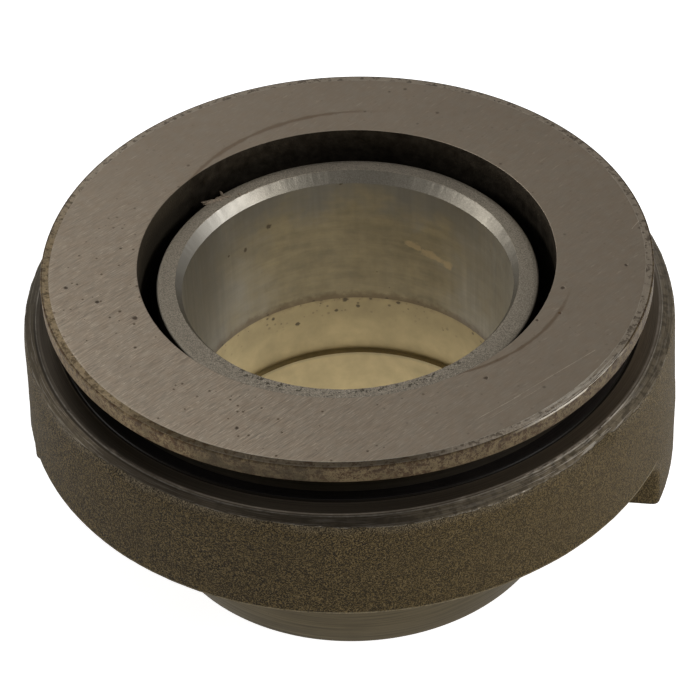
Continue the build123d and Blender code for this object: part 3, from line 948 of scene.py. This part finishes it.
def sleeve_material(colours):
    """End of the sleeve: grainy grey rim, mouth chamfer with a painted highlight at the left and painted
    shade at the back, and the sleeve below painted dark as shade in its gap.
    """
    w = Finish("sleeve_end_metal", 1.0)
    grain = w.cast_grain(0.15)
    film = w.film(2.5)
    # Dark colour for the painted shade in the gap below the rim and for the chips.
    grime_and_gap_shade = (0.05, 0.042, 0.03)
    rim = w.shades(grain["Height"], colours.sleeve, 0.72, 1.2)
    rim = w.tint(rim, w.times(grain["Pores"], 0.4), colours.sleeve, 0.35)
    rim = w.tint(rim, w.fade(film, 0.0, 0.3), colours.sleeve, 0.75)
    # Painted highlight: the chamfer is lighter at the left, and the rim's rubbed outer edge brightest there,
    # where they catch the light.
    painted_highlight_left = w.near((-17.1, 4.8, SLEEVE_TOP), 13.0, 4.0)
    rubbed = w.times(w.span(w.radius, 19.75, 19.95), w.fade(painted_highlight_left, 0.15, 0.7))
    rim = w.tint(rim, rubbed, colours.sleeve, 1.3)
    dull = w.mix(grain["Height"], rgba((0.185, 0.168, 0.137)), rgba((0.26, 0.238, 0.197)))
    on_chamfer = w.span(w.height, SLEEVE_TOP - 0.01, SLEEVE_TOP - 0.05)
    base = w.mix(on_chamfer, rim, w.tint(dull, painted_highlight_left, (0.36, 0.34, 0.30)))
    # Painted shade: the sleeve wall below the rim is dark in its narrow gap.
    below = w.span(w.height, SLEEVE_TOP - 0.15, SLEEVE_TOP - 0.35)
    base = w.tint(base, w.times(below, w.span(w.radius, 19.0, 19.5)), grime_and_gap_shade)
    # Painted shade: the chamfer is darker at the back.
    painted_shade = w.near((2.0, 18.5, SLEEVE_TOP), 15.0, 7.0, 0.0, 0.4)
    base = w.tint(base, w.times(painted_shade, w.span(w.radius, 18.3, 18.5)), colours.sleeve, 0.35)
    front = w.near((2.9, -17.3, SLEEVE_TOP), 19.0, 9.0)
    base = w.tint(base, w.times(grain["Glints"], w.times(front, 0.6)), (0.62, 0.57, 0.49))
    chips = w.times(w.span(w.cloud(2.2, 3.0, 0.7), 0.53, 0.62), front)
    chips = w.times(chips, w.span(w.radius, 19.2, 18.2))
    w.put("Base Color", w.tint(base, w.times(chips, 0.8), grime_and_gap_shade))
    w.put("Roughness", w.blend(on_chamfer, 0.55, w.fade(film, 0.46, 0.53)))
    lift = w.blend(on_chamfer, grain["Height"], w.times(grain["Height"], 0.3))
    return w.bump(w.less(lift, chips), 0.04, 0.6)


def cage_material(colours):
    """Natural polyamide, faintly cloudy, with fine moulding grain."""
    w = Finish("cage_polyamide")
    grain = w.cast_grain(0.12)
    w.put("Base Color", w.shades(w.film(2.5), colours.cage, 0.8, 1.1))
    w.put("Roughness", w.fade(grain["Height"], 0.38, 0.52))
    return w.bump(grain["Height"], 0.012, 0.5)


def ball_material():
    """Polished ball steel under a thin grease film."""
    w = Finish("ball_steel", 1.0)
    film = w.film(1.8)
    w.put("Base Color", w.mix(film, rgba((0.56, 0.55, 0.53)), rgba((0.66, 0.65, 0.63))))
    w.put("Roughness", w.fade(film, 0.06, 0.16))
    return w.bump(film, 0.002, 0.5)


def residue_material():
    """Dried brown preservative."""
    w = Finish("dried_residue")
    grain = w.cast_grain(0.2)
    w.put("Base Color", w.mix(grain["Height"], rgba((0.12, 0.09, 0.06)), rgba((0.32, 0.255, 0.185))))
    w.put("Roughness", w.fade(grain["Height"], 0.5, 0.8))
    return w.bump(grain["Height"], 0.06, 0.8)


def gap_outline(side, hub):
    """Plan of the space beside the lugs, in mm: side and hub are how far it stays off both."""
    half_width = LUG_WIDTH / 2 + side
    hub_radius = HUB_RADIUS + hub
    round_root = max(CAST_FILLET - hub, 0.05)
    root_y = half_width + round_root
    root_x = math.sqrt((hub_radius + round_root) ** 2 - root_y ** 2)
    lean = math.degrees(math.atan2(root_y, root_x))
    corner_y = LUG_WIDTH / 2 - LUG_CORNER
    corner = (math.sqrt((FLANGE_RADIUS - LUG_CORNER) ** 2 - corner_y ** 2), corner_y)
    half = [(0.0, hub_radius)] + arc((0, 0), hub_radius, 90, lean, 44)
    half += arc((root_x, root_y), round_root, lean + 180, 270, 6)
    half += run((root_x, half_width), (corner[0], half_width), 16)
    half += arc(corner, LUG_CORNER + side, 90, 20, 8)
    far = Vector(half[-1]).normalized() * CUTTER_RADIUS
    half.append(tuple(far))
    half += arc((0, 0), CUTTER_RADIUS, math.degrees(math.atan2(far.y, far.x)), 90, 12)
    return half + [(-x, y) for x, y in half[-2:0:-1]]


def gap_levels():
    """Heights of the cutter's outlines in mm, each with how far it stays off the lug's side and the hub."""
    levels = [(9.0, -LUG_ROUND, 0.5), (9.3, -LUG_ROUND, 0.5), (9.6, -LUG_ROUND, 0.0)]
    for step in range(5):
        height = LUG_BOTTOM + LUG_ROUND * step / 4
        inset = math.sqrt(max(0, LUG_ROUND ** 2 - (LUG_BOTTOM + LUG_ROUND - height) ** 2)) - LUG_ROUND
        levels.append((height, inset, 0.0))
    start = FLANGE_BOTTOM - CAST_FILLET
    levels += [(11.4, 0, 0), (12.3, 0, 0), (13.2, 0, 0), (start, 0, 0)]
    for step in range(1, 13):
        turn = math.radians(90 * step / 12)
        grown = CAST_FILLET * (1 - math.cos(turn))
        levels.append((start + CAST_FILLET * math.sin(turn), grown, grown))
    return levels


def fork_gap():
    """Closed cutter for both spaces beside the lugs, lofted through its outlines."""
    shell = bmesh.new()
    loops = []
    for height, side, hub in gap_levels():
        points = []
        for x, y in gap_outline(side, hub):
            place = Vector((x, y, height))
            if place.to_2d().length < CUTTER_RADIUS - 1 and side >= 0 and abs(x) > HUB_RADIUS - 1.25:
                place.y += 0.07 * noise.noise(place * 0.7)
            points.append(shell.verts.new(place * MM))
        loops.append([shell.edges.new(pair) for pair in zip(points, points[1:] + points[:1])])
    for lower, upper in zip(loops, loops[1:]):
        bmesh.ops.bridge_loops(shell, edges=lower + upper)
    bmesh.ops.contextual_create(shell, geom=loops[0])
    bmesh.ops.contextual_create(shell, geom=loops[-1])
    bmesh.ops.recalc_face_normals(shell, faces=shell.faces)
    twin = bmesh.ops.duplicate(shell, geom=shell.verts[:] + shell.edges[:] + shell.faces[:])["geom"]
    turn_about_axis(shell, verts_of(twin), math.pi)
    return shell


def carrier_outline():
    """Half section of the carrier, with the flange carried down to the bottom of the lugs."""
    points = [(BORE_RADIUS + 0.5, 0.0), (HUB_RADIUS - 0.12, 0.0), (HUB_RADIUS - 0.03, 0.04)]
    points += [(HUB_RADIUS, HUB_ROUND)]
    points += run((HUB_RADIUS, HUB_ROUND), (HUB_RADIUS, LUG_BOTTOM - 1), 4)
    points += arc((HUB_RADIUS + 1, LUG_BOTTOM - 1), 1, 180, 90, 5)
    points += run((HUB_RADIUS + 1, LUG_BOTTOM), (FLANGE_RADIUS - LUG_ROUND, LUG_BOTTOM), 8)
    points += arc((FLANGE_RADIUS - LUG_ROUND, LUG_BOTTOM + LUG_ROUND), LUG_ROUND, -90, 0, 5)
    points += run((FLANGE_RADIUS, LUG_BOTTOM + LUG_ROUND), (FLANGE_RADIUS, 17.3), 28)
    points += [(FLANGE_RADIUS, height) for height in (17.42, 17.58, 17.72, 17.88, 18.04, 18.2)]
    points += run((FLANGE_RADIUS, 18.2), (FLANGE_RADIUS, CORNER_LOW), 31)
    points += run((FLANGE_RADIUS, CORNER_LOW), (RIM_RADIUS, LEDGE_TOP - 0.02), 16)
    points += [(RIM_RADIUS - inset, LEDGE_TOP) for inset in (0.06, 0.13, 0.5)]
    points += [(RACE_RADIUS, LEDGE_TOP), (RACE_RADIUS, RACE_BOTTOM), (CUP_STEP_RADIUS, RACE_BOTTOM)]
    points += [(CUP_STEP_RADIUS, CUP_FLOOR), (SLEEVE_RADIUS + CUP_ROUND, CUP_FLOOR)]
    points += arc((SLEEVE_RADIUS + CUP_ROUND, CUP_FLOOR + CUP_ROUND), CUP_ROUND, -90, -180, 4)
    points += run((SLEEVE_RADIUS, CUP_FLOOR + CUP_ROUND), (SLEEVE_RADIUS, SLEEVE_TOP - 0.2), 4)
    points += [(SLEEVE_RADIUS - 0.05, SLEEVE_TOP - 0.07), (SLEEVE_RADIUS - 0.2, SLEEVE_TOP)]
    mouth = BORE_RADIUS + MOUTH_CHAMFER
    points += run((SLEEVE_RADIUS - 0.2, SLEEVE_TOP), (mouth, SLEEVE_TOP), 4)
    points += run((mouth, SLEEVE_TOP), (BORE_RADIUS, SLEEVE_TOP - MOUTH_CHAMFER), 3)
    points += run((BORE_RADIUS, SLEEVE_TOP - MOUTH_CHAMFER), (BORE_RADIUS, RELIEF_TOP), 5)
    points += [(RELIEF_RADIUS, RELIEF_TOP), (RELIEF_RADIUS, 10.0), (RELIEF_RADIUS, RELIEF_BOTTOM)]
    points += [(BORE_RADIUS, RELIEF_BOTTOM), (BORE_RADIUS, 3.0), (BORE_RADIUS, 0.5)]
    return points


def shape_cast_top(radius, height, angle):
    """Moves a point between the wall and the rim so that the turned band ends where it should."""
    top = LEDGE_TOP - 0.02
    share = (top - height) / (top - CORNER_LOW)
    edge = band_edge(angle)
    if share <= 0.5:
        radius = RIM_RADIUS + (edge - RIM_RADIUS) * share * 2
        lowered = nick_depth(angle) * max(0, 1 - share * 4)
        return radius - lowered, top - (radius - RIM_RADIUS) * BAND_SLOPE - lowered * 0.8, radius - edge
    curve = share * 2 - 1
    wall = FLANGE_RADIUS - wall_draft(CORNER_LOW)
    edge_height = top - (edge - RIM_RADIUS) * BAND_SLOPE
    middle = edge + 0.9 * (wall - edge)
    middle_height = LEDGE_TOP - 0.05 - (middle - RIM_RADIUS) * BAND_SLOPE
    a, b, c = (1 - curve) ** 2, 2 * curve * (1 - curve), curve ** 2
    radius = a * edge + b * middle + c * wall
    height = a * edge_height + b * middle_height + c * CORNER_LOW
    return radius, height, math.hypot(radius - edge, height - edge_height)


def shape_mouth(radius, angle):
    """Moves a point of the mouth's chamfer to the width that it has at its angle."""
    around = Vector(on_circle(1, angle, 0))
    wide = mouth_chamfer(angle)
    share = (radius - BORE_RADIUS) / MOUTH_CHAMFER
    waved = share * (0.04 * noise.noise(around * 14) + 0.04 * noise.noise(around * 45))
    return BORE_RADIUS + share * wide + waved, SLEEVE_TOP - (1 - share) * wide * MOUTH_STEEPNESS


def rough_wall(place, sizes):
    """Inward wave and grit of the cast wall at a place in mm."""
    lumps = 0.5 + 0.5 * noise.noise(place * 0.16) + 0.25 * noise.noise(place * 0.5)
    grit = 0.5 + 0.5 * noise.noise(place * 1.3) + 0.4 * noise.noise(place * 2.7)
    return max(0, lumps * sizes.lumps / MM + grit * sizes.grit / MM)


def shape_carrier(shell, sizes):
    """Turned band, cast corner, flange edge, nicks and sand roughness, point by point."""
    layer = shell.verts.layers.float.new("cast_edge")
    for vert in shell.verts:
        place = vert.co / MM
        radius, height = place.to_2d().length, place.z
        angle = math.degrees(math.atan2(place.y, place.x))
        off_edge = 5.0
        if radius < RIM_RADIUS - 0.1 and height > FLANGE_BOTTOM + 1:
            off_edge = -5.0
            if radius < BORE_RADIUS + MOUTH_CHAMFER + 0.02 and height > SLEEVE_TOP - MOUTH_CHAMFER - 0.01:
                radius, height = shape_mouth(radius, angle)
        elif height > LEDGE_TOP - 0.01 and radius > RIM_RADIUS - 0.1:
            radius, height, off_edge = radius - nick_depth(angle), height - 0.6 * nick_depth(angle), -1.5
        elif height > CORNER_LOW + 0.01 and radius > RIM_RADIUS - 0.1:
            radius, height, off_edge = shape_cast_top(radius, height, angle)
        elif radius > FLANGE_RADIUS - 0.3 and height > FLANGE_BOTTOM - CAST_FILLET:
            radius -= hem_inset(abs(place.y), height) + wall_draft(height)
        vert[layer] = off_edge
        if off_edge > 0 and radius > FLANGE_RADIUS - 1.2 and height > LUG_BOTTOM + 0.05:
            radius -= rough_wall(place, sizes) * min(1, vert[layer] / 0.4)
        vert.co = Vector(on_circle(radius, angle, height)) * MM


def carrier_zone(centre):
    """Material slot of a carrier face, from its centre in mm."""
    casting, rim, bore, sleeve, hub = range(5)
    radius, height = centre.to_2d().length, centre.z
    if radius > RIM_RADIUS - 0.03 and height > FLANGE_BOTTOM - 0.3:
        return casting
    if radius < RELIEF_RADIUS + 0.1 and height < SLEEVE_TOP - 2 * MOUTH_CHAMFER:
        return bore
    if radius < SLEEVE_RADIUS + 0.05 and height > CUP_FLOOR:
        return sleeve
    if height > CUP_FLOOR - 0.2:
        return rim
    if radius < HUB_RADIUS + 0.03 and height < HUB_TOP:
        return hub
    return casting


def cut_blank(sizes):
    """Mesh of the spun carrier with the spaces beside its lugs cut away."""
    body = new_object("carrier_blank", spun(carrier_outline(), sizes.turns))
    cutter = new_object("fork_gap", fork_gap())
    cut = body.modifiers.new("beside the lugs", "BOOLEAN")
    cut.operation = "DIFFERENCE"
    cut.solver = "MANIFOLD"
    cut.object = cutter
    depsgraph = bpy.context.evaluated_depsgraph_get()
    made = bpy.data.meshes.new_from_object(body.evaluated_get(depsgraph), depsgraph=depsgraph)
    if len(made.polygons) < len(body.data.polygons) // 2:
        raise RuntimeError("the cut beside the lugs left too little of the carrier")
    bpy.data.objects.remove(body)
    bpy.data.objects.remove(cutter)
    return made


def build_carrier(sizes, colours):
    """The casting: spun, cut beside the lugs, then roughened and its zones given their finish."""
    shell = bmesh.new()
    shell.from_mesh(cut_blank(sizes))
    bmesh.ops.remove_doubles(shell, verts=shell.verts, dist=0.002 * MM)
    bmesh.ops.dissolve_degenerate(shell, edges=shell.edges, dist=0.002 * MM)
    shape_carrier(shell, sizes)
    for face in shell.faces:
        face.material_index = carrier_zone(face.calc_center_median() / MM)
    materials = [
        casting_material(colours),
        turned_material("turned_rim_metal", colours.rim, 0.1, 0.9, 0.3, 0.45),
        bore_material(colours),
        sleeve_material(colours),
        turned_material("turned_hub_metal", colours.hub, 0.14, 0.75, 0.42, 0.55, upright=True),
    ]
    piece = new_piece("cast_carrier", shell, materials, "carrier", 32)
    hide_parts("carrier")


def ring_outline(edge):
    """Half section of the thrust ring with its raceway, bevel and worn edges, in mm."""
    hole, side, top = RING_HOLE, RING_RADIUS, FACE_HEIGHT
    under = top - RING_THICKNESS
    low = NECK_BOTTOM + NECK_CHAMFER
    points = [(hole, low), (hole + NECK_CHAMFER, NECK_BOTTOM), (NECK_RADIUS - NECK_CHAMFER, NECK_BOTTOM)]
    points += [(NECK_RADIUS, low), (NECK_RADIUS, 22.325)]
    points += arc(RACEWAY_CENTRE, RACEWAY_RADIUS, 235, 101.1, 16)
    points += [(UNDERCUT_RADIUS, under - UNDERCUT_ROUND)]
    points += arc((UNDERCUT_RADIUS + UNDERCUT_ROUND, under - UNDERCUT_ROUND), UNDERCUT_ROUND, 180, 90, 7)
    points += [(side - 0.2, under), (side - 0.07, under + 0.05), (side, under + 0.2)]
    points += run((side, under + 0.2), (side, top - 0.26), 5)
    points += [(side - 0.012, top - 0.15), (side - 0.05, top - 0.08), (side - 0.12, top - 0.045)]
    points += [(side - 0.25, top - 0.035), (FACE_EDGE + edge, top - edge * 0.25)]
    points += [(FACE_EDGE, top - edge * 0.08), (FACE_EDGE - edge, top), (FACE_EDGE - 0.3, top)]
    points += run((FACE_EDGE - 0.3, top), (hole + 0.3, top), 8)
    points += [(hole + 0.09, top), (hole + 0.05, top), (hole + 0.015, top - 0.015), (hole, top - 0.05)]
    points += run((hole, top - 0.05), (hole, low), 6)[:-1]
    return points


def build_ring(sizes, colours):
    """The spinning ring with its neck and raceway."""
    shell = spun(ring_outline(sizes.edge_break / MM), sizes.turns)
    steel = ring_material(colours, sizes.line_angle)
    piece = new_piece("ground_thrust_ring", shell, [steel], "ring", 36)
    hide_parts("thrust_ring")


def build_residue():
    """Flake of dried preservative on the sleeve's outer edge."""
    shell = bmesh.new()
    for x, y, long, wide, turn, seed in RESIDUE_LUMPS:
        made = bmesh.ops.create_icosphere(shell, subdivisions=4, radius=MM)["verts"]
        for vert in made:
            vert.co *= 1 + 0.45 * noise.noise(vert.co / MM * 1.6 + Vector((seed, 0, 0)))
        bmesh.ops.scale(shell, verts=made, vec=(long, wide, 0.16))
        turn_about_axis(shell, made, math.radians(turn))
        bmesh.ops.translate(shell, verts=made, vec=(x * MM, y * MM, (SLEEVE_TOP - 0.02) * MM))
    new_piece("sleeve_residue", shell, [residue_material()], "carrier", 60)


def dress(node_name, material):
    """Gives a CAD node its finish."""
    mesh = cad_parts[node_name].data
    mesh.materials.clear()
    mesh.materials.append(material)


def build_sheet(name, shell, height, first, second):
    """Flat piece of the stage at a height in m, painted in two close greys; gives its finish."""
    sheet = new_object(name, shell)
    sheet.location.z = height
    w = Finish(name)
    w.put("Base Color", w.mix(w.film(30.0), (first, first, first, 1), (second, second, second, 1)))
    w.put("Roughness", 0.9)
    sheet.data.materials.append(w.material)
    return w


def build_floor():
    """Plain pale table, lit from within like a light table."""
    shell = bmesh.new()
    bmesh.ops.create_grid(shell, x_segments=1, y_segments=1, size=3.0)
    w = build_sheet("pale_table", shell, -0.00002, 0.80, 0.82)
    w.put("Emission Color", (1, 1, 1, 1))
    w.put("Emission Strength", w.line(w.split(w.place)[0], 20.0, 70.0, 0.75, 1.35))


def build_card():
    """Dark card over the bearing, out of the picture, that darkens what the tops reflect."""
    shell = bmesh.new()
    bmesh.ops.create_circle(shell, cap_ends=True, segments=48, radius=0.34)
    build_sheet("dark_card", shell, 0.62, 0.02, 0.025)


def build_lights(scene):
    """A soft box at each side, a faint one behind, and a dim room."""
    for name, place, size, watts in (
        ("left_box", (-0.66, -0.02, 0.31), (0.30, 0.22), 2.2),
        ("right_box", (0.62, -0.13, 0.46), (0.30, 0.22), 3.1),
        ("back_left_box", (-0.221, 0.246, 0.475), (0.25, 0.25), 0.35),
    ):
        light = bpy.data.lights.new(name, "AREA")
        light.shape = "RECTANGLE"
        light.size, light.size_y = size
        light.energy = watts
        lamp = bpy.data.objects.new(name, light)
        aim = Vector((0, 0, 0.02)) - Vector(place)
        lamp.matrix_world = Matrix.Translation(place) @ aim.to_track_quat("-Z", "Y").to_matrix().to_4x4()
        scene.collection.objects.link(lamp)
    world = bpy.data.worlds.new("studio")
    scene.world = world
    world.use_nodes = True
    background = world.node_tree.nodes["Background"]
    background.inputs["Color"].default_value = (1.0, 0.98, 0.95, 1)
    background.inputs["Strength"].default_value = 0.3
    scene.view_settings.view_transform = "Standard"


def build_camera(scene):
    """Camera solved from the photograph."""
    data = bpy.data.cameras.new("photo_view")
    data.lens = 153.946
    data.sensor_width = 36.0
    data.clip_start = 0.01
    data.clip_end = 20.0
    camera = bpy.data.objects.new("photo_view", data)
    right = Vector((0.98954407, 0.1401409, -0.0341036))
    up = Vector((-0.06708321, 0.65651526, 0.75132387))
    back = Vector((0.12768074, -0.74118031, 0.65905188))
    turn = Matrix((right, up, back)).transposed()
    camera.matrix_world = Matrix.Translation((0.04103342, -0.23861581, 0.23408834)) @ turn.to_4x4()
    scene.collection.objects.link(camera)
    scene.camera = camera


class BEARING_OT_carrier(bpy.types.Operator):
    """Build the cast carrier with its sleeve, cup and lugs"""

    bl_idname = "bearing.carrier"
    bl_label = "Carrier"

    def execute(self, context):
        build_carrier(context.scene.bearing_sizes, context.scene.bearing_colours)
        return {"FINISHED"}


class BEARING_OT_thrust_ring(bpy.types.Operator):
    """Build the ground ring that spins"""

    bl_idname = "bearing.thrust_ring"
    bl_label = "Thrust ring"

    def execute(self, context):
        build_ring(context.scene.bearing_sizes, context.scene.bearing_colours)
        return {"FINISHED"}


class BEARING_OT_rolling_set(bpy.types.Operator):
    """Finish the race, the shields, the cage and the balls"""

    bl_idname = "bearing.rolling_set"
    bl_label = "Race, shields, cage and balls"

    def execute(self, context):
        colours = context.scene.bearing_colours
        dress("outer_race", turned_material("race_metal", colours.race, 0.07, 1.0, 0.28, 0.42))
        shield = turned_material("shield_metal", colours.shield, 0.3, 1.0, 0.3, 0.4)
        for name in ("upper_shield", "lower_shield"):
            dress(name, shield)
        dress("ball_cage", cage_material(colours))
        balls = ball_material()
        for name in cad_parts:
            if name.startswith("ball_") and name != "ball_cage":
                dress(name, balls)
        return {"FINISHED"}


class BEARING_OT_residue(bpy.types.Operator):
    """Build the dried flake on the sleeve's edge"""

    bl_idname = "bearing.residue"
    bl_label = "Dried residue"

    def execute(self, context):
        build_residue()
        return {"FINISHED"}


class BEARING_OT_stage(bpy.types.Operator):
    """Lay the pale floor, hang the dark card and set up the lights and the camera"""

    bl_idname = "bearing.stage"
    bl_label = "Stage"

    def execute(self, context):
        build_floor()
        build_card()
        build_lights(context.scene)
        build_camera(context.scene)
        return {"FINISHED"}


class BEARING_PT_panel(bpy.types.Panel):
    """Lists the pieces of the bearing"""

    bl_idname = "BEARING_PT_panel"
    bl_label = "Thrust bearing"
    bl_space_type = "VIEW_3D"
    bl_region_type = "UI"
    bl_category = "Bearing"

    def draw(self, context):
        column = self.layout.column()
        for operator in OPERATORS:
            column.operator(operator.bl_idname, text=operator.bl_label)
        for group in (context.scene.bearing_sizes, context.scene.bearing_colours):
            for name in group.__annotations__:
                column.prop(group, name)


OPERATORS = (
    BEARING_OT_carrier, BEARING_OT_thrust_ring, BEARING_OT_rolling_set, BEARING_OT_residue, BEARING_OT_stage,
)
CLASSES = (BearingSizes, BearingColours, BEARING_PT_panel) + OPERATORS


def register():
    for one in CLASSES:
        bpy.utils.register_class(one)
    bpy.types.Scene.bearing_sizes = bpy.props.PointerProperty(type=BearingSizes)
    bpy.types.Scene.bearing_colours = bpy.props.PointerProperty(type=BearingColours)


def unregister():
    del bpy.types.Scene.bearing_colours
    del bpy.types.Scene.bearing_sizes
    for one in reversed(CLASSES):
        bpy.utils.unregister_class(one)


def main():
    """Registers the add-on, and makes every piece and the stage."""
    register()
    build_groups()
    bpy.ops.bearing.carrier()
    bpy.ops.bearing.thrust_ring()
    bpy.ops.bearing.rolling_set()
    bpy.ops.bearing.residue()
    bpy.ops.bearing.stage()


if __name__ == "__main__":
    main()
